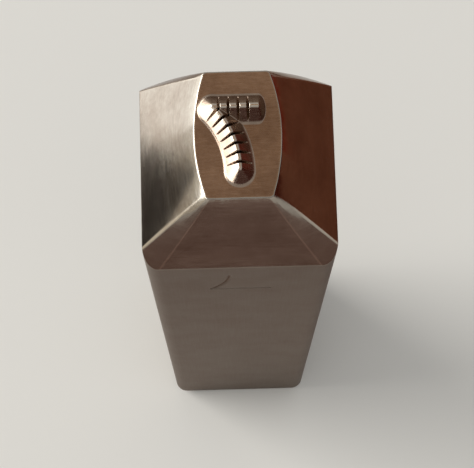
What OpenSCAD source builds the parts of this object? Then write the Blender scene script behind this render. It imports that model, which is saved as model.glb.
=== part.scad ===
// Steel number hand stamp with a raised, mirrored figure 7 made of short teeth
// The origin is the middle of the struck end, and +Z runs up the shank to the figure
// The front of the shank faces -Y and carries the guide mark

/* [Shank] */
// Width across the flats of the square shank
shank_w = 12; // [11:0.5:16]
// Length from the struck end to the crest of the figure
stamp_l = 70; // [55:1:100]
// Radius of the shank's four long corners
corner_r = 1; // [0.9:0.1:1.8]
// Chamfer round the struck end
end_chamfer = 0.8; // [0.2:0.1:0.8]

/* [Head] */
// Length of the flat face from front to back
face_l = 7.6; // [7.4:0.1:9]
// Width of the flat face at its middle
face_w = 5.1; // [5:0.1:7]
// Width of the flat face at its front and back edges
face_end_w = 3.8; // [3.4:0.1:4.6]
// Height of the taper on the front and back of the head
taper_front_h = 9; // [8:0.1:14]
// Height of the taper on the two sides of the head
taper_side_h = 7.2; // [5:0.1:7.8]

/* [Figure] */
// Height of the figure, along its crest line
fig_h = 3.7; // [3.2:0.1:4.2]
// Width of the figure, along its crest line
fig_w = 2.6; // [2.2:0.1:2.8]
// How far the foot of the leg lies inward from the corner
fig_lean = 1.45; // [0.8:0.05:1.8]
// Sideways offset of the figure's middle from the face's middle
fig_x = -0.1; // [-0.15:0.05:0.2]
// Offset of the figure's middle from the face's middle, towards the back
fig_y = -0.35; // [-0.5:0.05:0.3]
// Height of the ridge above the face
ridge_h = 0.85; // [0.8:0.05:0.9]
// Radius of the ridge's rounded crest
crest_r = 0.2; // [0.1:0.01:0.25]
// Slope of the ridge's flanks, measured from upright
flank_deg = 42; // [30:1:42]
// How far the bar's blunt free end reaches, as a share of the ridge's half width
end_share = 0.5; // [0.3:0.05:0.6]

/* [Teeth] */
// Distance from the figure's corner to the first notch of the bar and of the leg
first_notch = 0.33; // [0.25:0.01:0.4]
// Distance from tooth to tooth along the crest
tooth_pitch = 0.56; // [0.5:0.01:0.8]
// Width of the notch between two teeth, at the crest
notch_w = 0.14; // [0.1:0.01:0.3]
// Width of the notch at its floor
notch_floor_w = 0.05; // [0.04:0.01:0.1]
// Depth of the notch below the crest
notch_d = 0.72; // [0.3:0.01:0.76]

/* [Guide mark] */
// Height of the engraved guide mark
mark_h = 4.3; // [3:0.1:6]
// Width of the engraved guide mark
mark_w = 3.8; // [2:0.1:5]
// How far the end of the mark's leg lies inward from its corner
mark_lean = 1.2; // [0.8:0.1:2.5]
// Gap between the front taper and the mark
mark_gap = 2.6; // [1:0.1:8]
// Width of the engraved line
line_w = 0.22; // [0.15:0.01:0.5]
// Depth of the engraved line
line_d = 0.1; // [0.05:0.01:0.3]

/* [Hidden] */

// Smoothness of round faces, and of the corners of the outline that the head is stretched from
$fn = 96;
outline_fn = 32;
// Steps along each bulged edge of the face
edge_steps = 12;
// Thickness of the thin outlines that the head is stretched over
skin = 0.01;
// Overlap of solids that are joined, and overshoot of solids that cut
lap = 0.2;

half_w = shank_w / 2;
corner_at = half_w - corner_r;
face_z = stamp_l - ridge_h;
front_foot_z = face_z - taper_front_h;
side_foot_z = face_z - taper_side_h;
bulge = (face_w - face_end_w) / 2;
bulge_r = (pow(face_l / 2, 2) + pow(bulge, 2)) / (2 * bulge);

crest_z = ridge_h - crest_r;
flank_top = [crest_r * cos(flank_deg), crest_z + crest_r * sin(flank_deg)];
ridge_half_w = flank_top.x + flank_top.y * tan(flank_deg);

// Radius of the arc that leaves the corner and arrives upright at the foot of the leg
function leg_radius(height, lean) = (lean * lean + height * height) / (2 * lean);
// Angle that this arc turns through
function leg_angle(height, lean) = asin(height / leg_radius(height, lean));
// Length of this arc
function leg_length(height, lean) = leg_radius(height, lean) * leg_angle(height, lean) * PI / 180;
// Distances from the corner to the notches that fit a stretch of crest
function notch_places(length) =
    [for (i = [0 : max(0, round((length - first_notch) / tooth_pitch) - 1)]) first_notch + i * tooth_pitch];
// Half width of the flat face at a distance y from its middle
function face_half(y) = face_w / 2 - bulge_r + sqrt(pow(bulge_r, 2) - pow(y, 2));

// Outline of the flat face, straight at front and back and bulged at the sides
module face_outline() {
    ys = [for (i = [0 : edge_steps]) face_l * (i / edge_steps - 0.5)];
    right = [for (y = ys) [face_half(y), y]];
    left = [for (y = ys) [-face_half(-y), -y]];
    polygon(concat(right, left));
}

// Square bar with round long corners and a chamfer at its lower end
module chamfered_bar(height) {
    side = [
        [-half_w + end_chamfer, 0], [half_w - end_chamfer, 0],
        [half_w, end_chamfer], [half_w, height],
        [-half_w, height], [-half_w, end_chamfer]
    ];
    for (turn = [0, 90])
        rotate([0, 0, turn]) rotate([90, 0, 0])
            linear_extrude(2 * corner_at, center = true) polygon(side);
    for (x = [-corner_at, corner_at], y = [-corner_at, corner_at])
        translate([x, y, 0]) {
            cylinder(h = end_chamfer, r1 = corner_r - end_chamfer, r2 = corner_r);
            translate([0, 0, end_chamfer]) cylinder(h = height - end_chamfer, r = corner_r);
        }
}

// Tapered head, stretched from the shank's outline over the feet of the side tapers to the flat face
module head() {
    hull() {
        translate([0, 0, face_z - skin]) linear_extrude(skin) face_outline();
        translate([-half_w, -corner_at, side_foot_z - skin]) cube([shank_w, 2 * corner_at, skin]);
        translate([0, 0, front_foot_z - skin]) linear_extrude(skin) {
            square([shank_w, 2 * corner_at], center = true);
            square([2 * corner_at, shank_w], center = true);
            for (x = [-corner_at, corner_at], y = [-corner_at, corner_at])
                translate([x, y]) circle(corner_r, $fn = outline_fn);
        }
    }
}

// Section of the ridge, a wedge with a round crest
module ridge_section() {
    polygon([
        [-ridge_half_w, -lap], [ridge_half_w, -lap], [ridge_half_w, 0],
        flank_top, [-flank_top.x, flank_top.y], [-ridge_half_w, 0]
    ]);
    translate([0, crest_z]) circle(crest_r);
}

// A section carried along the bar of a mirrored 7, which runs from its corner at the origin to +X
module bar_of_seven(width) {
    rotate([90, 0, 90]) linear_extrude(width) children();
}

// A section carried along the leg, which curves from the corner down to its foot at [lean, -height]
module leg_of_seven(height, lean) {
    radius = leg_radius(height, lean);
    translate([lean - radius, -height, 0])
        rotate_extrude(angle = leg_angle(height, lean)) translate([radius, 0]) children();
}

// Notch across a ridge that runs along +X at the origin
module notch() {
    flare = (notch_w - notch_floor_w) / 2 / notch_d;
    rise = notch_d + lap;
    rotate([90, 0, 0]) translate([0, ridge_h - notch_d, 0])
        linear_extrude(2 * (ridge_half_w + lap), center = true)
            polygon([
                [-notch_floor_w / 2, 0], [notch_floor_w / 2, 0],
                [notch_floor_w / 2 + flare * rise, rise], [-notch_floor_w / 2 - flare * rise, rise]
            ]);
}

// Round end of a ridge about the origin, half of the ridge's section turned from +X through an angle
module turned_end(turn) {
    rotate_extrude(angle = turn, $fn = outline_fn)
        intersection() {
            ridge_section();
            translate([0, -lap]) square([ridge_half_w, lap + ridge_h]);
        }
}

// Toothed bar of the figure, with its outer end at the corner and its free end to +X
module figure_bar() {
    difference() {
        union() {
            bar_of_seven(fig_w) ridge_section();
            translate([fig_w, 0, 0]) scale([end_share, 1, 1]) rotate([0, 0, -90]) turned_end(180);
        }
        for (place = notch_places(fig_w)) translate([place, 0, 0]) notch();
    }
}

// Toothed leg of the figure, from the corner to its foot
module figure_leg() {
    radius = leg_radius(fig_h, fig_lean);
    crest = leg_length(fig_h, fig_lean);
    difference() {
        union() {
            leg_of_seven(fig_h, fig_lean) ridge_section();
            translate([fig_lean, -fig_h, 0]) rotate([0, 0, 180]) turned_end(180);
        }
        for (place = notch_places(crest))
            translate([fig_lean - radius, -fig_h, 0])
                rotate([0, 0, leg_angle(fig_h, fig_lean) * (1 - place / crest)])
                    translate([radius, 0, 0]) rotate([0, 0, 90]) notch();
    }
}

// Raised mirrored 7, which leaves a plain 7 in the work
module figure() {
    translate([fig_x - fig_w / 2, fig_y + fig_h / 2, face_z]) {
        rotate([0, 0, 90]) turned_end(90 + leg_angle(fig_h, fig_lean));
        figure_bar();
        figure_leg();
    }
}

// Engraved guide mark, a plain 7 that stands on its head below the front taper
module guide_mark() {
    translate([-mark_w / 2, -half_w, front_foot_z - mark_gap - mark_h])
        rotate([90, 0, 0]) mirror([0, 1, 0]) {
            bar_of_seven(mark_w) square([line_w, 2 * line_d], center = true);
            leg_of_seven(mark_h, mark_lean) square([line_w, 2 * line_d], center = true);
        }
}

// The whole stamp, ground and engraved from one bar
module number_stamp() {
    color("#8d857b") {
        difference() {
            union() {
                chamfered_bar(front_foot_z);
                head();
            }
            guide_mark();
        }
        figure();
    }
}

number_stamp();
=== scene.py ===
"""Number hand stamp: the looks of a square steel stamp with a raised, mirrored, toothed figure 7.

Run as a script, it loads the fixed frame, makes the stamp's visible surface and its steel, then the floor,
the light, the cards that the steel mirrors and the camera.
"""

import math
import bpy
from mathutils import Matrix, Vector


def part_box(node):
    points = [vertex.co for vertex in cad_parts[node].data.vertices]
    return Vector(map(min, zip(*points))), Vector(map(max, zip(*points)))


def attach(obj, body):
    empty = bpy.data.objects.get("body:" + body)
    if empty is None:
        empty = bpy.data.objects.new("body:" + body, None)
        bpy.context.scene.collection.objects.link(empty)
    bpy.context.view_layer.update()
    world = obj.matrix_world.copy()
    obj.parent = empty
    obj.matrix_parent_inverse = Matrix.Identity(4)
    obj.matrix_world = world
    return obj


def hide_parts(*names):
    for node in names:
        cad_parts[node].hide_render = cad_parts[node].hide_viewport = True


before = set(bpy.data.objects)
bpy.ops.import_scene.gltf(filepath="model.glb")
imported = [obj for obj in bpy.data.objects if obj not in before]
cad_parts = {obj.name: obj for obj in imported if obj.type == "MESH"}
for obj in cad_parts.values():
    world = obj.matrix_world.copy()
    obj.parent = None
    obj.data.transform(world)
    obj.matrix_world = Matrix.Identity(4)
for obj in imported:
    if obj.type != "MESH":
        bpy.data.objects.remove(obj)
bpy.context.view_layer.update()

from types import SimpleNamespace

import bpy
import numpy as np
from bpy.props import FloatProperty, FloatVectorProperty, IntProperty, PointerProperty
from bpy.types import Operator, Panel, PropertyGroup
from mathutils import Vector

bl_info = {
    "name": "Number hand stamp",
    "version": (1, 0, 0),
    "blender": (4, 5, 0),
    "location": "View3D > Sidebar > Stamp",
    "description": "Makes a steel number stamp with a toothed figure, its finish and a plain studio",
    "category": "Add Mesh",
}

STAMP_NODE = "number_stamp"
NODE_LOW, NODE_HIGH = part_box(STAMP_NODE)
MM = 0.001


def linear(hex_colour):
    """An sRGB hex colour such as #8c8377 as linear red, green, blue and alpha 1."""
    channels = [int(hex_colour[i : i + 2], 16) / 255 for i in (1, 3, 5)]
    bent = [c / 12.92 if c <= 0.04045 else ((c + 0.055) / 1.055) ** 2.4 for c in channels]
    return (*bent, 1.0)


def length(label, default_mm, description):
    """A length property with its default given in millimetres."""
    default = default_mm * MM
    return FloatProperty(name=label, description=description, default=default, unit="LENGTH", precision=5)


def angle(label, default_deg, description):
    """An angle property with its default given in degrees."""
    default = math.radians(default_deg)
    return FloatProperty(name=label, description=description, default=default, subtype="ANGLE")


def amount(label, default, description, least=0.0):
    """A property for a plain number that isn't below the least."""
    return FloatProperty(name=label, description=description, default=default, min=least)


def count(label, default, least, description):
    """A property for a whole number that isn't below the least."""
    return IntProperty(name=label, description=description, default=default, min=least)


def place(label, default_mm, description):
    """A property for a point in space, with its default given in millimetres."""
    default = [value * MM for value in default_mm]
    return FloatVectorProperty(name=label, description=description, default=default, subtype="TRANSLATION")


def colour(label, default_hex, description):
    """A colour property with its default given as an sRGB hex value."""
    default = linear(default_hex)
    return FloatVectorProperty(
        name=label, description=description, default=default, size=4, subtype="COLOR", min=0, max=1
    )


class StampSizes(PropertyGroup):
    """Sizes of the stamp, the same as those of the solid part, and of its worn edges."""

    shank_width: length("Shank width", (NODE_HIGH.x - NODE_LOW.x) / MM, "Width across the shank's flats")
    stamp_length: length("Length", NODE_HIGH.z / MM, "From the struck end to the crest of the figure")
    corner_radius: length("Corner radius", 1.0, "Radius of the shank's four long corners")
    end_chamfer: length("End chamfer", 0.8, "Chamfer round the struck end")
    face_length: length("Face length", 7.6, "Length of the flat face from front to back")
    face_width: length("Face width", 5.1, "Width of the flat face at its middle")
    face_end_width: length("Face end width", 3.8, "Width of the flat face at its front and back edges")
    face_corner_radius: length("Face corner radius", 0.3, "Rounding of the flat face's four corners")
    taper_front_height: length("Front taper height", 9.0, "Height of the taper on the front and back")
    taper_side_height: length("Side taper height", 7.2, "Height of the taper on the two sides")
    taper_crown: length("Taper crown", 0.08, "How far the hand-ground taper swells halfway down")
    edge_round: length("Edge rounding", 0.07, "Width of the worn rounding along the ground edges")


class FigureSizes(PropertyGroup):
    """Sizes of the raised figure and of the engraved guide mark."""

    height: length("Figure height", 3.7, "Height of the figure along its crest line")
    width: length("Figure width", 2.6, "Width of the figure along its crest line")
    lean: length("Leg lean", 1.45, "How far the foot of the leg lies inward from the corner")
    middle_x: length("Figure offset X", -0.1, "Sideways offset of the figure's middle")
    middle_y: length("Figure offset Y", -0.35, "Offset of the figure's middle towards the back")
    ridge_height: length("Ridge height", 0.85, "Height of the ridge above the face")
    crest_radius: length("Crest radius", 0.2, "Radius of the ridge's rounded crest")
    flank_slope: angle("Flank slope", 42, "Slope of the ridge's flanks, measured from upright")
    end_share: amount("End share", 0.5, "Reach of the bar's end, in half widths of the ridge", least=0.3)
    first_notch: length("First notch", 0.33, "Distance from the corner to each limb's first notch")
    tooth_pitch: length("Tooth pitch", 0.56, "Distance from tooth to tooth along the crest")
    notch_width: length("Notch width", 0.14, "Width of the notch between two teeth, at the crest")
    notch_floor: length("Notch floor", 0.05, "Width of the notch at its floor")
    notch_depth: length("Notch depth", 0.72, "Depth of the notch below the crest")
    tooth_round: length("Tooth rounding", 0.02, "Width of the rounding at each end of a tooth's crest")
    crest_blend: length("Crest blend", 0.05, "Height over which the figure's creases are rounded")
    foot_blend: length("Foot blend", 0.12, "Height over which the ridge runs out into the face")
    mark_height: length("Mark height", 4.3, "Height of the engraved guide mark")
    mark_width: length("Mark width", 3.8, "Width of the engraved guide mark")
    mark_lean: length("Mark lean", 1.2, "How far the end of the mark's leg lies inward from its corner")
    mark_gap: length("Mark gap", 2.6, "Gap between the front taper and the mark")
    line_width: length("Line width", 0.22, "Width of the engraved line")
    line_depth: length("Line depth", 0.1, "Depth of the engraved line")


class MeshSteps(PropertyGroup):
    """How finely the surface is divided."""

    across: count("Columns", 180, 20, "Columns across the face and the front")
    figure_rows: count("Figure rows", 190, 20, "Rows over the figure's length")
    corner: count("Corner steps", 10, 3, "Steps round each corner")
    edge: count("Edge steps", 4, 2, "Rows over each rounded edge")
    taper: count("Taper rows", 10, 2, "Rows down the taper")
    mark_rows: count("Mark rows", 76, 10, "Rows over the guide mark")


class Finish(PropertyGroup):
    """Colours of the steel."""

    face_steel: colour("Face", "#ab9888", "Tempered steel of the flat face and the figure")
    taper_steel: colour("Taper", "#a6a097", "Ground steel of the taper")
    shank_steel: colour("Shank", "#7d7871", "Drawn steel of the shank")
    # The bright tone is partly rubbed wear and partly painted highlight on edges, creases and the figure's
    # crest
    stain: colour("Stain", "#5c4638", "Brown temper stain and old oil")
    wear_and_sheen: colour("Rubbed edge", "#d2c9bc", "Bright steel where edges are rubbed")
    glancing: colour("Glancing tint", "#cbbfba", "How far oiled steel dulls what it mirrors at a low angle")


class Studio(PropertyGroup):
    """Camera, floor, light and the cards that the steel mirrors."""

    eye: place("Camera place", (-0.8, -26.7, 163.2), "Where the camera is")
    aim: place("Camera aim", (0.0, 1.7, 35), "Point that the camera looks at")
    lens: amount("Lens", 128.9, "Focal length on a 36 mm wide sensor, in mm")
    floor: colour("Floor", "#e4e2de", "Plain pale floor")
    sky: colour("Sky", "#f2f2f0", "Pale surroundings")
    sky_glow: amount("Sky glow", 0.6, "Strength of the pale surroundings")
    lamp: colour("Soft light", "#fffdf8", "Colour of the soft light on the left")
    lamp_power: amount("Light power", 27.0, "Power of the soft light on the left, in W")
    window: colour("Window cards", "#f1f5f4", "Bright cards on the left, one over the other, like a window")
    window_glow: amount("Window glow", 2.8, "Strength of the lower bright card")
    window_rise: amount("Window rise", 2.2, "How many times as strong the upper bright card is")
    wall: colour("Wall card", "#c9c2b4", "Grey card on the left, in front of the bright ones")
    wall_glow: amount("Wall glow", 1.5, "Strength of the grey card")
    shade: colour("Shade cards", "#1e130d", "Dark cards low on the left")
    russet: colour("Russet card", "#82533f", "Red-brown card on the floor on the right")
    umber: colour("Umber cards", "#8a7168", "Grey-brown cards in front, behind and high on the right")
    maroon: colour("Maroon cards", "#4b1c13", "Dark red-brown cards, one far in front and one on the right")
    brick: colour("Brick card", "#7c2514", "Red card on the right, beside the head and behind it")
    tan: colour("Tan card", "#a88a6e", "Light brown card overhead")


def in_mm(group, *unchanged):
    """A property group as plain numbers, its lengths in millimetres and the named values unchanged."""
    units = {name: 1 if name in unchanged else MM for name in group.__annotations__}
    values = {name: getattr(group, name) / unit for name, unit in units.items()}
    return SimpleNamespace(**values)


def sizes_in_mm(stamp_group, figure_group):
    """Sizes of the stamp and its figure in millimetres, with the heights and half widths they give."""
    stamp = in_mm(stamp_group)
    figure = in_mm(figure_group, "flank_slope", "end_share")
    stamp.half = stamp.shank_width / 2
    stamp.flat = stamp.half - stamp.corner_radius
    stamp.face_straight = stamp.face_length / 2 - stamp.face_corner_radius
    stamp.face_z = stamp.stamp_length - figure.ridge_height
    stamp.side_foot_z = stamp.face_z - stamp.taper_side_height
    stamp.front_foot_z = stamp.face_z - stamp.taper_front_height
    figure.mark_bar_z = stamp.front_foot_z - figure.mark_gap - figure.mark_height
    return stamp, figure


def smooth_min(a, b, blend):
    """The lower of two heights, with the crease between them rounded over the height blend."""
    share = np.clip(0.5 + 0.5 * (b - a) / blend, 0, 1)
    return b * (1 - share) + a * share - blend * share * (1 - share)


def smooth_max(a, b, blend):
    """The higher of two heights, with the valley between them rounded over the height blend."""
    return -smooth_min(-a, -b, blend)


def smooth_step(low, high, value):
    """0 below low, 1 above high and an S-shaped rise between them."""
    t = np.clip((value - low) / (high - low), 0, 1)
    return t * t * (3 - 2 * t)


def wedge(distance, figure):
    """Height of the ridge's section at a distance from its crest line.

    A circle arc of the crest radius down to where its tangent has the flank's slope, then that tangent.
    """
    radius, slope = figure.crest_radius, figure.flank_slope
    turn = radius * math.cos(slope)
    arc = figure.ridge_height - radius + np.sqrt(radius**2 - np.minimum(distance, turn) ** 2)
    flank_top = figure.ridge_height - radius * (1 - math.sin(slope))
    return np.where(distance < turn, arc, flank_top - (distance - turn) / math.tan(slope))


def leg_circle(height, lean):
    """Radius and angle of the arc that leaves the corner and arrives upright at the foot of the leg."""
    radius = (lean**2 + height**2) / (2 * lean)
    return radius, math.asin(height / radius)


def along_leg(x, y, height, lean):
    """Distance from the leg's line and travel along it, for points measured from the corner.

    Polar coordinates about the arc's centre, and straight ones past the foot.
    """
    radius, turn = leg_circle(height, lean)
    u = x - (lean - radius)
    v = y + height
    off = np.where(v < 0, np.abs(u - radius), np.abs(np.hypot(u, v) - radius))
    travel = radius * turn - np.where(v < 0, v, radius * np.arctan2(v, u))
    return off, travel


def notch_height(travel, total, figure):
    """Height that the notches leave along a limb.

    A narrow floor at the first notch and at every tooth pitch after it, from which the height rises in an S
    over the notch's wall and the tooth's rounded end, and then straight, so that it clears the crest.
    """
    last = max(0, round((total - figure.first_notch) / figure.tooth_pitch) - 1)
    nearest = np.clip(np.rint((travel - figure.first_notch) / figure.tooth_pitch), 0, last)
    beside = np.abs(travel - figure.first_notch - nearest * figure.tooth_pitch)
    brink = figure.notch_width / 2 + figure.tooth_round
    wall = figure.notch_depth * smooth_step(figure.notch_floor / 2, brink, beside)
    return figure.ridge_height - figure.notch_depth + wall + np.maximum(beside - brink, 0)


def limb(off, travel, total, end_share, figure):
    """Height of one limb of the figure before and after its notches are cut.

    The ridge's section on the distance from the limb's line: a circle about its start, and at its free end
    an ellipse, whose reach is a share of the ridge's half width. A notch takes this down to its own height.
    """
    beyond = np.maximum(-travel, 0) + np.maximum(travel - total, 0) / end_share
    whole = wedge(np.hypot(off, beyond), figure)
    return whole, smooth_min(whole, notch_height(travel, total, figure), figure.crest_blend)


def figure_height(x, y, figure):
    """Height of the raised figure over the face, and how deep each point lies in a notch, from 0 to 1.

    The higher of the straight bar and the curved leg, which both start at the corner, over the flat face.
    """
    right = x - (figure.middle_x - figure.width / 2)
    up = y - (figure.middle_y + figure.height / 2)
    radius, turn = leg_circle(figure.height, figure.lean)
    bar, notched_bar = limb(np.abs(up), right, figure.width, figure.end_share, figure)
    off, travel = along_leg(right, up, figure.height, figure.lean)
    leg, notched_leg = limb(off, travel, radius * turn, 1, figure)
    notched = smooth_max(notched_bar, notched_leg, figure.crest_blend)
    cut_away = np.maximum(np.maximum(bar, leg), 0) - np.maximum(notched, 0)
    raised = smooth_max(notched, np.zeros_like(notched), figure.foot_blend)
    return raised, np.clip(cut_away / figure.notch_depth, 0, 1)


# How far the guide mark's groove is at full depth and where it ends, as shares of the line's width
GROOVE_FLOOR, GROOVE_RIM = 0.15, 0.62


def mark_depth(x, z, figure):
    """Depth of the engraved guide mark in the front of the shank.

    The figure's line turned upside down, as a round-bottomed groove on the distance from that line.
    """
    right = x + figure.mark_width / 2
    up = figure.mark_bar_z - z
    bar = np.hypot(np.maximum(np.maximum(-right, right - figure.mark_width), 0), up)
    off, travel = along_leg(right, up, figure.mark_height, figure.mark_lean)
    radius, turn = leg_circle(figure.mark_height, figure.mark_lean)
    beyond = np.maximum(np.maximum(-travel, travel - radius * turn), 0)
    nearest = np.minimum(bar, np.hypot(off, beyond))
    floor, rim = GROOVE_FLOOR * figure.line_width, GROOVE_RIM * figure.line_width
    return figure.line_depth * (1 - smooth_step(floor, rim, nearest))


def wander(ring_length, seed):
    """A smooth closed wave round a ring of points, mostly between -1 and 1.

    Half the sum of six sines with random starts, each with seven more turns than the last and a bit weaker.
    """
    turn = np.arange(ring_length) / ring_length * 2 * math.pi
    starts = np.random.default_rng(seed).uniform(0, 2 * math.pi, 6)
    waves = [np.sin(turn * (5 + 7 * i) + start) / (1 + 0.4 * i) for i, start in enumerate(starts)]
    return np.sum(waves, axis=0) / 2


class Outline:
    """How a ring of points is spread round the stamp, the same for every ring, so that rings can be joined.

    The front and back have columns from -1 to 1. The sides have rows from -1 to 1, which crowd together
    over the figure, and each corner has a row for each of its angles.
    """

    # Spacing of the rows beside the figure in millimetres, and how many are added to them
    plain_row = 0.09
    more_rows = 3
    # How far the crowded rows reach past the foot of the figure and past its top, in millimetres
    past_foot = 0.5
    past_top = 1.0

    def __init__(self, stamp, figure, steps):
        straight = stamp.face_straight
        low = figure.middle_y - figure.height / 2 - figure.crest_radius - self.past_foot
        high = figure.middle_y + figure.height / 2 + self.past_top
        y = np.concatenate([
            np.linspace(-straight, low, self.plain_rows(low + straight), endpoint=False),
            np.linspace(low, high, steps.figure_rows, endpoint=False),
            np.linspace(high, straight, self.plain_rows(straight - high)),
        ])
        self.columns = np.linspace(-1, 1, steps.across + 1)
        self.rows = y / straight
        self.angles = np.linspace(0, math.pi / 2, steps.corner + 1)[1:]

    def plain_rows(self, stretch):
        """How many rows a stretch beside the figure has."""
        return round(stretch / self.plain_row) + self.more_rows

    def sides(self, straight, radius, centre_x, half_width):
        """The y and half width of each row.

        Along the straight stretch the half width is given, and round a corner it is a circle's.
        """
        y = straight + radius * np.sin(self.angles)
        x = centre_x + radius * np.cos(self.angles)
        return (
            np.concatenate([-y[::-1], self.rows * straight, y]),
            np.concatenate([x[::-1], np.broadcast_to(half_width, self.rows.shape), x]),
        )

    def ring(self, y, half_width, z):
        """A closed ring from each row's y, half width and z, anticlockwise from the front left corner."""
        z = np.broadcast_to(z, y.shape)
        even = np.ones_like(self.columns)
        front, back = (
            np.stack([half_width[row] * self.columns, y[row] * even, z[row] * even], axis=1)
            for row in (0, -1)
        )
        right = np.stack([half_width, y, z], axis=1)[1:-1]
        left = right[::-1] * (-1, 1, 1)
        return np.concatenate([front, right, back[::-1], left])

    def crease(self):
        """1 where a corner meets a side, the front or the back, and 0 elsewhere round the ring."""
        corner = len(self.angles)
        side = np.zeros(len(self.rows) + 2 * corner)
        side[[corner, -1 - corner]] = 1
        front = np.zeros_like(self.columns)
        front[[0, -1]] = 1
        return np.concatenate([front, side[1:-1], front, side[-2:0:-1]])


def over_edge(start, edge, end, steps):
    """Rings over a rounded edge: a quadratic curve from start to end, pulled to the sharp edge."""
    t = (np.arange(1, steps + 1) / steps)[:, None, None]
    return list((1 - t) ** 2 * start + 2 * t * (1 - t) * edge + t**2 * end)


def towards(start, end, distance):
    """Points at a distance from start on the way to end."""
    way = end - start
    return start + way / np.linalg.norm(way, axis=1, keepdims=True) * np.reshape(distance, (-1, 1))


def down_taper(start, end, crown, steps):
    """Rings down the taper, on straight lines from start to end that swell outwards by a parabola."""
    way = end - start
    along = np.roll(start + end, -1, axis=0) - np.roll(start + end, 1, axis=0)
    outwards = np.cross(way, along)
    outwards /= np.linalg.norm(outwards, axis=1, keepdims=True)
    return [start + way * t + outwards * crown * 4 * t * (1 - t) for t in np.arange(1, steps + 1) / steps]


def sewn(upper, lower):
    """Quads between two rows of vertex numbers that run anticlockwise round the stamp, facing outwards."""
    return np.stack([upper[:-1], lower[:-1], lower[1:], upper[1:]], axis=1)


class Skin:
    """Vertices, faces and values of a mesh while it is put together."""

    def __init__(self):
        self.points, self.faces, self.zones = [], [], []
        self.wear_and_sheen, self.sunk = [], []
        self.total = 0

    def add_points(self, points, wear_and_sheen=0.0, sunk=0.0):
        """Adds points with how far they are brightened (wear and painted highlight) and how sunk they are,
        and returns their numbers.
        """
        points = np.reshape(points, (-1, 3))
        self.points.append(points)
        self.wear_and_sheen.append(np.broadcast_to(np.ravel(wear_and_sheen), len(points)))
        self.sunk.append(np.broadcast_to(np.ravel(sunk), len(points)))
        self.total += len(points)
        return np.arange(self.total - len(points), self.total)

    def add_faces(self, faces, zone):
        """Adds rows of vertex numbers as faces of one zone."""
        self.faces.extend(np.asarray(faces).tolist())
        self.zones.extend([zone] * len(faces))

    def add_ring(self, above, ring, zone, wear_and_sheen=0.0):
        """Adds a closed ring below the ring above, sews the two together and returns its numbers."""
        below = self.add_points(ring, wear_and_sheen)
        self.add_faces(sewn(np.append(above, above[0]), np.append(below, below[0])), zone)
        return below

    def mesh(self, name):
        """The finished mesh in metres, smooth, with its values as attributes."""
        made = bpy.data.meshes.new(name)
        made.from_pydata(np.concatenate(self.points) * MM, [], self.faces)
        made.polygons.foreach_set("material_index", self.zones)
        made.polygons.foreach_set("use_smooth", [True] * len(self.faces))
        for label, values in (("wear_and_sheen", self.wear_and_sheen), ("sunk", self.sunk)):
            made.attributes.new(label, "FLOAT", "POINT").data.foreach_set("value", np.concatenate(values))
        made.update()
        return made


# Material slots of the mesh
FACE_ZONE, TAPER_ZONE, SHANK_ZONE = 0, 1, 2
# How far the rounded edges, the creases of the corner facets and the figure's crest are made bright: part
# rubbed wear, part painted highlight
EDGE_WEAR_SHEEN, CREASE_WEAR_SHEEN, CREST_WEAR_SHEEN = 0.25, 0.55, 0.8
# Share of the ridge's height above which its crest is made bright, part rubbed wear and part painted
# highlight
CREST_START = 0.9
# Share by which hand grinding changes the width of the worn edges, and the seed of where it does
GRIND_CHANGE, GRIND_SEED = 0.35, 7
# Width in millimetres of the flat strip that is kept beside an edge or the guide mark
STRIP = 0.25
# Width of the struck end's inner ring as a share of the end, which keeps its edge crisp
INNER_RING = 0.9


def face_sides(outline, stamp, inset):
    """The rows of the flat face's outline, moved inwards by the inset.

    Each side is an arc of a circle that gives the face its widths at its middle and at its two ends.
    """
    bulge = (stamp.face_width - stamp.face_end_width) / 2
    bulge_radius = ((stamp.face_length / 2) ** 2 + bulge**2) / (2 * bulge)
    y = outline.rows * stamp.face_straight
    half_width = stamp.face_width / 2 - bulge_radius + np.sqrt(bulge_radius**2 - y**2)
    corner = stamp.face_corner_radius
    return outline.sides(stamp.face_straight, corner - inset, half_width[0] - corner, half_width - inset)


def add_face(skin, outline, stamp, figure):
    """The flat face with the figure on it, and the numbers of its rim.

    A grid whose columns spread over each row's half width, raised by the figure's height.
    """
    y, half_width = face_sides(outline, stamp, stamp.edge_round)
    grid_x = half_width[:, None] * outline.columns
    grid_y = np.repeat(y[:, None], len(outline.columns), axis=1)
    raised, sunk = figure_height(grid_x, grid_y, figure)
    # Painted highlight, partly wear: the crest and the face's rim get the bright steel tone
    crest = CREST_WEAR_SHEEN * smooth_step(CREST_START, 1.0, raised / figure.ridge_height)
    inside = np.minimum(half_width[:, None] - np.abs(grid_x), y[-1] - np.abs(grid_y))
    rim = EDGE_WEAR_SHEEN * (1 - smooth_step(0, stamp.edge_round, inside))
    points = np.stack([grid_x, grid_y, stamp.face_z + raised], axis=2)
    grid = skin.add_points(points, np.maximum(crest, rim), sunk).reshape(grid_x.shape)
    for front, back in zip(grid[:-1], grid[1:]):
        skin.add_faces(sewn(back, front), FACE_ZONE)
    return np.concatenate([grid[0], grid[1:-1, -1], grid[-1, ::-1], grid[-2:0:-1, 0]])


def facet_heights(outline, stamp):
    """Heights round a corner of the shank where a plane facet cuts it.

    The plane goes through the face's corner and the near ends of the side taper's and front taper's feet.
    """
    tip = np.array([stamp.face_end_width / 2, stamp.face_length / 2, stamp.face_z])
    side_foot = (stamp.half, stamp.flat, stamp.side_foot_z)
    front_foot = (stamp.flat, stamp.half, stamp.front_foot_z)
    normal = np.cross(side_foot - tip, front_foot - tip)
    x = stamp.flat + stamp.corner_radius * np.cos(outline.angles)
    y = stamp.flat + stamp.corner_radius * np.sin(outline.angles)
    return stamp.face_z - ((x - tip[0]) * normal[0] + (y - tip[1]) * normal[1]) / normal[2]


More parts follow.
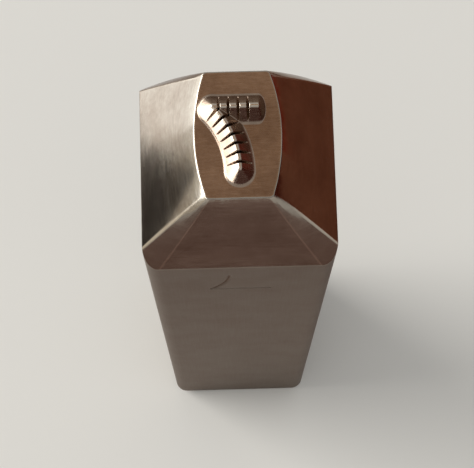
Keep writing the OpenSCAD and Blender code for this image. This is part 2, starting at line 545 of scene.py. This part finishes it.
def add_head(skin, rim, outline, stamp, steps):
    """The rounded edge of the face, the taper and its worn foot, down to the top of the shank's walls.

    Returns the numbers and the points of the walls' top, and the shank's outline at height 0.
    """
    inner = outline.ring(*face_sides(outline, stamp, stamp.edge_round), stamp.face_z)
    brow = outline.ring(*face_sides(outline, stamp, 0), stamp.face_z)
    corner_z = facet_heights(outline, stamp)
    foot_z = np.concatenate([corner_z[::-1], np.full_like(outline.rows, stamp.side_foot_z), corner_z])
    foot = outline.ring(*outline.sides(stamp.flat, stamp.corner_radius, stamp.flat, stamp.half), foot_z)

    worn = stamp.edge_round * (1 + GRIND_CHANGE * wander(len(brow), GRIND_SEED))
    # Painted highlight lines, partly wear: the rounded edges and the creases of the corner facets get the
    # bright steel tone
    crease = CREASE_WEAR_SHEEN * outline.crease()
    upper_end, lower_end = towards(brow, foot, worn), towards(foot, brow, worn)
    drop = np.zeros_like(foot)
    drop[:, 2] = worn
    ring = rim
    for points in over_edge(inner, brow, upper_end, steps.edge):
        ring = skin.add_ring(ring, points, TAPER_ZONE, EDGE_WEAR_SHEEN)
    for points in down_taper(upper_end, lower_end, stamp.taper_crown, steps.taper):
        ring = skin.add_ring(ring, points, TAPER_ZONE, crease)
    for points in over_edge(lower_end, foot, foot - drop, steps.edge):
        ring = skin.add_ring(ring, points, SHANK_ZONE, EDGE_WEAR_SHEEN)
    wall_top = foot - drop - (0, 0, STRIP)
    return skin.add_ring(ring, wall_top, SHANK_ZONE), wall_top, foot * (1, 1, 0)


def add_front_wall(skin, above, below, wall_top, figure, steps):
    """The front of the shank as a grid with the guide mark sunk in it.

    A fan of triangles at each side of the grid joins it to the corner beside it.
    """
    across = steps.across + 1
    top, bottom = figure.mark_bar_z + figure.mark_height + STRIP, figure.mark_bar_z - STRIP
    x, z = np.meshgrid(wall_top[:across, 0], np.linspace(top, bottom, steps.mark_rows))
    depth = mark_depth(x, z, figure)
    points = np.stack([x, wall_top[0, 1] + depth, z], axis=2)
    grid = skin.add_points(points, 0.0, depth / figure.line_depth).reshape(x.shape)
    rows = np.concatenate([above[None, :across], grid, below[None, :across]])
    for upper, lower in zip(rows[:-1], rows[1:]):
        skin.add_faces(sewn(upper, lower), SHANK_ZONE)
    right, left = rows[:, -1], rows[:, 0]
    right_apex, left_apex = (np.full(len(rows) - 1, above[corner]) for corner in (across, -1))
    skin.add_faces(np.stack([right[:-1], right[1:], right_apex], axis=1), SHANK_ZONE)
    skin.add_faces(np.stack([left_apex, left[1:], left[:-1]], axis=1), SHANK_ZONE)
    skin.add_faces([[right[-1], below[across], above[across]]], SHANK_ZONE)
    skin.add_faces([[above[-1], below[-1], left[-1]]], SHANK_ZONE)


def add_struck_end(skin, ring, outline, stamp, plan, steps):
    """The chamfered struck end, closed by a fan of triangles at its middle."""
    edge, chamfer = stamp.edge_round, stamp.end_chamfer
    small_radius, small_half = stamp.corner_radius - chamfer, stamp.half - chamfer
    inward = outline.ring(*outline.sides(stamp.flat, small_radius, stamp.flat, small_half), 0.0)
    knee = plan + (0, 0, chamfer)
    above_knee = knee + (0, 0, edge)
    shrink = (1 - edge / stamp.flat, 1 - edge / stamp.flat, 1)
    before_base = towards(inward, knee, edge)
    ring = skin.add_ring(ring, above_knee, SHANK_ZONE)
    # Painted highlight, partly wear, on the struck end's rounded edges
    for points in over_edge(above_knee, knee, towards(knee, inward, edge), steps.edge):
        ring = skin.add_ring(ring, points, SHANK_ZONE, EDGE_WEAR_SHEEN)
    ring = skin.add_ring(ring, before_base, SHANK_ZONE)
    for points in over_edge(before_base, inward, inward * shrink, steps.edge):
        ring = skin.add_ring(ring, points, SHANK_ZONE, EDGE_WEAR_SHEEN)
    ring = skin.add_ring(ring, inward * (INNER_RING, INNER_RING, 1), SHANK_ZONE)
    middle = np.full(len(ring), skin.add_points([[0, 0, 0]])[0])
    skin.add_faces(np.stack([ring, middle, np.roll(ring, -1)], axis=1), SHANK_ZONE)


def stamp_mesh(stamp, figure, steps):
    """The stamp's whole surface as one closed skin, from the figure down to the struck end."""
    skin = Skin()
    outline = Outline(stamp, figure, steps)
    rim = add_face(skin, outline, stamp, figure)
    above, wall_top, plan = add_head(skin, rim, outline, stamp, steps)
    wall_foot = plan + (0, 0, stamp.end_chamfer + stamp.edge_round + STRIP)
    below = skin.add_points(wall_foot)
    add_front_wall(skin, above, below, wall_top, figure, steps)
    beside = slice(steps.across + 1, None)
    skin.add_faces(sewn(above[beside], below[beside]), SHANK_ZONE)
    add_struck_end(skin, below, outline, stamp, plan, steps)
    return skin.mesh(STAMP_NODE)


def add(tree, kind, values=None, links=None, **settings):
    """Adds a node with its settings, the values of its inputs and the sockets linked to its inputs."""
    made = tree.nodes.new(kind)
    for name, value in settings.items():
        setattr(made, name, value)
    for socket, value in (values or {}).items():
        made.inputs[socket].default_value = value
    for socket, source in (links or {}).items():
        tree.links.new(source, made.inputs[socket])
    return made


def new_material(name):
    """An empty node material and its tree."""
    made = bpy.data.materials.new(name)
    made.use_nodes = True
    made.node_tree.nodes.clear()
    return made, made.node_tree


# Numbers of the colour sockets of a Mix node, whose sockets share their names
MIX_A, MIX_B, MIX_OUT = 6, 7, 2
# Sizes in millimetres of the clouds and specks of stain, and how much the specks cover beside the clouds
CLOUD, SPECK, SPECK_COVER = 2.6, 0.35, 0.6
# Depths in millimetres of the scratches and of the slow waves, and the strength of the waves
SCRATCH_DEPTH, WAVE_DEPTH, WAVE_STRENGTH = 0.01, 0.04, 0.25
# Darkest and brightest shade that the lay gives the steel, and how much it lowers and raises its roughness
DARKEST, BRIGHTEST, SMOOTHER, ROUGHER = 0.78, 1.2, 0.07, 0.09


def scratched_steel(name, base, finish, lay_mm, roughness, stain_share, sunk_darkening_share, lay_strength):
    """Hardened tool steel: a lay of fine scratches, brown stain in patches, and edges rubbed bright.

    The stain's share is how far it covers the steel, and the sunk darkening share how far the stain's
    colour darkens what is sunk, the deeper the darker.
    The lay's three sizes are the spacing of its scratches along X, Y and Z in millimetres. Real ones lie
    about 0.02 mm apart, too fine to show, so they are drawn two to five times as coarse.
    """
    material, tree = new_material(name)
    on_piece = {"Vector": add(tree, "ShaderNodeTexCoord").outputs["Object"]}
    spacing = {"Scale": [1 / (size * MM) for size in lay_mm]}
    lay_place = add(tree, "ShaderNodeMapping", spacing, on_piece).outputs["Vector"]
    scratchy = {"Scale": 1.0, "Detail": 4.0}
    lay = add(tree, "ShaderNodeTexNoise", scratchy, {"Vector": lay_place}).outputs["Fac"]
    cloudy = {"Scale": 1 / (CLOUD * MM), "Detail": 3.0}
    clouds = add(tree, "ShaderNodeTexNoise", cloudy, on_piece).outputs["Fac"]
    speckled = {"Scale": 1 / (SPECK * MM), "Detail": 3.0}
    speckle = add(tree, "ShaderNodeTexNoise", speckled, on_piece).outputs["Fac"]
    wear_and_sheen = add(tree, "ShaderNodeAttribute", attribute_name="wear_and_sheen").outputs["Fac"]
    sunk = add(tree, "ShaderNodeAttribute", attribute_name="sunk").outputs["Fac"]

    broad = {"From Min": 0.35, "From Max": 0.7, "To Max": stain_share}
    broad_stain = add(tree, "ShaderNodeMapRange", broad, {"Value": clouds}).outputs["Result"]
    small = {"From Min": 0.3, "From Max": 0.75, "To Max": stain_share * SPECK_COVER}
    small_stain = add(tree, "ShaderNodeMapRange", small, {"Value": speckle}).outputs["Result"]
    stain = add(tree, "ShaderNodeMath", links={0: broad_stain, 1: small_stain}, operation="ADD").outputs[0]
    # Darker in the stain's colour where the surface is sunk in the notches and the engraved mark, the
    # deeper the darker
    sunk_darkening = add(tree, "ShaderNodeMath", {1: sunk_darkening_share}, {0: sunk}, operation="MULTIPLY").outputs[0]
    stain = add(tree, "ShaderNodeMath", links={0: stain, 1: sunk_darkening}, operation="MAXIMUM").outputs[0]

    two_tones = {MIX_A: base, MIX_B: finish.stain}
    tone = add(tree, "ShaderNodeMix", two_tones, {0: stain}, data_type="RGBA").outputs[MIX_OUT]
    uneven = {"To Min": DARKEST, "To Max": BRIGHTEST}
    shade = add(tree, "ShaderNodeMapRange", uneven, {"Value": lay}).outputs["Result"]
    both = {MIX_A: tone, MIX_B: shade}
    multiplied = add(tree, "ShaderNodeMix", {0: 1.0}, both, data_type="RGBA", blend_type="MULTIPLY")
    # Painted highlight, partly wear: edges, creases and the crest are mixed towards the bright steel tone
    edges = {0: wear_and_sheen, MIX_A: multiplied.outputs[MIX_OUT]}
    tone = add(tree, "ShaderNodeMix", {MIX_B: finish.wear_and_sheen}, edges, data_type="RGBA").outputs[MIX_OUT]

    span = {"To Min": roughness - SMOOTHER, "To Max": roughness + ROUGHER}
    gloss = add(tree, "ShaderNodeMapRange", span, {"Value": lay}).outputs["Result"]
    fine = {"Strength": lay_strength, "Distance": SCRATCH_DEPTH * MM}
    grooves = add(tree, "ShaderNodeBump", fine, {"Height": lay}).outputs["Normal"]
    slow = {"Strength": WAVE_STRENGTH, "Distance": WAVE_DEPTH * MM}
    waves = add(tree, "ShaderNodeBump", slow, {"Height": clouds, "Normal": grooves}).outputs["Normal"]
    links = {"Base Color": tone, "Roughness": gloss, "Normal": waves}
    metal = {"Metallic": 1.0, "Specular Tint": finish.glancing}
    steel = add(tree, "ShaderNodeBsdfPrincipled", metal, links).outputs["BSDF"]
    add(tree, "ShaderNodeOutputMaterial", links={"Surface": steel})
    return material


def engraved_tempered_steel(finish):
    """The flat face and the figure."""
    # Tempered and oiled tool steel with a satin lay across it: straw brown, darker down in the notches
    return scratched_steel(
        "engraved_tempered_steel", finish.face_steel, finish, lay_mm=(0.6, 0.05, 0.6),
        roughness=0.26, stain_share=0.35, sunk_darkening_share=0.08, lay_strength=0.35,
    )


def hand_ground_steel(finish):
    """The taper below the face."""
    # Tool steel ground by hand on a fine wheel: bright, with scratches that run level round the taper
    return scratched_steel(
        "hand_ground_steel", finish.taper_steel, finish, lay_mm=(1.6, 1.6, 0.06),
        roughness=0.16, stain_share=0.3, sunk_darkening_share=0, lay_strength=0.2,
    )


def drawn_hardened_steel(finish):
    """The square shank and its struck end."""
    # Tool steel drawn through a die and hardened: greyer and duller, with scratches that run up the shank
    return scratched_steel(
        "drawn_hardened_steel", finish.shank_steel, finish, lay_mm=(0.09, 0.09, 4.0),
        roughness=0.38, stain_share=0.24, sunk_darkening_share=0.8, lay_strength=0.5,
    )


def matt_laminate(studio):
    """The floor."""
    # Matt white laminate: pale and even, with no gloss at all
    material, tree = new_material("matt_laminate")
    values = {"Base Color": studio.floor, "Roughness": 1.0, "Specular IOR Level": 0.0}
    surface = add(tree, "ShaderNodeBsdfPrincipled", values).outputs["BSDF"]
    add(tree, "ShaderNodeOutputMaterial", links={"Surface": surface})
    return material


def glowing_card(name, tone, glow):
    """A card's even glow, though it is no lamp."""
    # Glowing card, no lamp: a flat emitted tone that only the steel's reflections see, standing in for lit
    # and shaded surroundings
    material, tree = new_material(name)
    surface = add(tree, "ShaderNodeEmission", {"Color": tone, "Strength": glow}).outputs["Emission"]
    add(tree, "ShaderNodeOutputMaterial", links={"Surface": surface})
    return material


class STAMP_OT_body(Operator):
    """Make the stamp's visible surface and its steel, and let it stand for the solid"""

    bl_idname = "stamp.body"
    bl_label = "Stamp"

    def execute(self, context):
        scene = context.scene
        stamp, figure = sizes_in_mm(scene.stamp_sizes, scene.stamp_figure)
        made = bpy.data.objects.new("stamp_surface", stamp_mesh(stamp, figure, scene.stamp_steps))
        scene.collection.objects.link(made)
        for material in (engraved_tempered_steel, hand_ground_steel, drawn_hardened_steel):
            made.data.materials.append(material(scene.stamp_finish))
        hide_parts(STAMP_NODE)
        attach(made, "root")
        return {"FINISHED"}


def add_board(name, corners, material):
    """A flat stage object of one face with the given corners in metres."""
    data = bpy.data.meshes.new(name)
    data.from_pydata(corners, [], [(0, 1, 2, 3)])
    data.materials.append(material)
    made = bpy.data.objects.new(name, data)
    bpy.context.scene.collection.objects.link(made)
    return made


def add_floor(studio):
    """A wide plain floor: one square at height 0, in metres."""
    reach = 1.5
    corners = np.array([(-1, -1, 0), (1, -1, 0), (1, 1, 0), (-1, 1, 0)]) * reach
    add_board("floor", corners, matt_laminate(studio))


def add_world(studio):
    """Pale even surroundings."""
    world = bpy.data.worlds.new("pale_room")
    world.use_nodes = True
    world.node_tree.nodes.clear()
    values = {"Color": studio.sky, "Strength": studio.sky_glow}
    sky = add(world.node_tree, "ShaderNodeBackground", values).outputs["Background"]
    add(world.node_tree, "ShaderNodeOutputWorld", links={"Surface": sky})
    bpy.context.scene.world = world


def stand_looking(made, eye, aim):
    """Puts a light or a camera into the scene at the eye, turned to the aim."""
    made.location = eye
    made.rotation_mode = "QUATERNION"
    made.rotation_quaternion = (Vector(aim) - Vector(eye)).to_track_quat("-Z", "Y")
    bpy.context.scene.collection.objects.link(made)


def add_soft_light(studio):
    """One wide soft light high on the left, so far off that the floor is lit evenly, in metres."""
    eye, aim, width = (-1.5, 0.45, 1.35), (0, 0, 0.03), 1.2
    data = bpy.data.lights.new("soft_window", "AREA")
    data.shape = "SQUARE"
    data.size = width
    data.energy = studio.lamp_power
    data.color = studio.lamp[:3]
    lamp = bpy.data.objects.new("soft_window", data)
    lamp.visible_camera = False
    stand_looking(lamp, eye, aim)


def add_card(name, middle, across, up, tone, glow=1.0):
    """A flat card in millimetres: its middle plus or minus half its width across and half its height up.

    It glows with its own tone, and only mirrored light sees it, so it neither lights the floor nor stands
    in a view.
    """
    middle, across, up = (np.array(v, dtype=float) for v in (middle, across, up))
    corners = [middle - across - up, middle + across - up, middle + across + up, middle - across + up]
    card = add_board(name, np.array(corners) * MM, glowing_card(name, tone, glow))
    card.visible_camera = card.visible_diffuse = card.visible_transmission = card.visible_shadow = False


def add_cards(studio):
    """The glowing cards round the stamp, in millimetres: what its left, right, front, back and top mirror.
    """
    left, right, front, roof, low = -62, 50, -120, 200, 0.4
    dark_left = left + 2
    high_glow = studio.window_rise * studio.window_glow

    # On the left a bright window, grey in front of it and dark at its foot
    add_card("window_card", (left, 58, 24), (0, 42, 0), (0, 0, 24), studio.window, studio.window_glow)
    add_card("high_window_card", (left, 13, 71), (0, 87, 0), (0, 0, 21), studio.window, high_glow)
    add_card("wall_card", (left, -20, 24), (0, 44, 0), (0, 0, 24), studio.wall, studio.wall_glow)
    add_card("shade_card", (dark_left, -40, 7), (0, 22, 0), (0, 0, 7), studio.shade)
    add_card("slanted_shade_card", (dark_left, 13, 15), (0, 10, -15), (0, 0, 13), studio.shade)

    # On the right red beside the head, red-brown on the floor and darker towards the front
    add_card("brick_card", (right, 45, 53), (0, 35, 0), (0, 0, 16), studio.brick)
    add_card("high_umber_card", (right, 62, 82), (0, 50, 0), (0, 0, 15), studio.umber)
    add_card("low_maroon_card", (right, -14, 68), (0, 26, 0), (0, 0, 20), studio.maroon)
    add_card("russet_card", (106, 19, low), (68, 0, 0), (0, 59, 0), studio.russet)

    # Grey-brown on the floor in front and behind, dark far in front, and light brown overhead
    add_card("umber_card", (0, -67, low), (70, 0, 0), (0, 27, 0), studio.umber)
    add_card("maroon_card", (40, front, 82), (140, 0, 0), (0, 0, 32), studio.maroon)
    add_card("back_umber_card", (0, 130, low), (60, 0, 0), (0, 45, 0), studio.umber)
    add_card("tan_card", (0, 45, roof), (60, 0, 0), (0, 45, 0), studio.tan)


def add_camera(studio):
    """The camera, whose near limit of 5 mm lets close views show the whole stamp."""
    camera = bpy.data.objects.new("camera", bpy.data.cameras.new("camera"))
    camera.data.lens = studio.lens
    camera.data.clip_start = 5 * MM
    stand_looking(camera, studio.eye, studio.aim)
    bpy.context.scene.camera = camera


class STAMP_OT_studio(Operator):
    """Make the plain floor, the soft light, the mirrored cards and the camera"""

    bl_idname = "stamp.studio"
    bl_label = "Studio"

    def execute(self, context):
        studio = context.scene.stamp_studio
        for add_part in (add_floor, add_world, add_soft_light, add_cards, add_camera):
            add_part(studio)
        context.scene.view_settings.view_transform = "Standard"
        return {"FINISHED"}


class STAMP_PT_panel(Panel):
    """Lists the stamp's parts"""

    bl_idname = "STAMP_PT_panel"
    bl_label = "Number stamp"
    bl_space_type = "VIEW_3D"
    bl_region_type = "UI"
    bl_category = "Stamp"

    def draw(self, context):
        for operator in OPERATORS:
            self.layout.operator(operator.bl_idname)


OPERATORS = (STAMP_OT_body, STAMP_OT_studio)
GROUPS = {
    "stamp_sizes": StampSizes,
    "stamp_figure": FigureSizes,
    "stamp_steps": MeshSteps,
    "stamp_finish": Finish,
    "stamp_studio": Studio,
}


def register():
    """Registers the classes and hangs the property groups on the scene."""
    for cls in (*GROUPS.values(), *OPERATORS, STAMP_PT_panel):
        bpy.utils.register_class(cls)
    for name, group in GROUPS.items():
        setattr(bpy.types.Scene, name, PointerProperty(type=group))


def unregister():
    """Takes the property groups and the classes away again."""
    for name in GROUPS:
        delattr(bpy.types.Scene, name)
    for cls in reversed((*GROUPS.values(), *OPERATORS, STAMP_PT_panel)):
        bpy.utils.unregister_class(cls)


def main():
    """Makes the stamp and the studio."""
    register()
    bpy.ops.stamp.body()
    bpy.ops.stamp.studio()


if __name__ == "__main__":
    main()
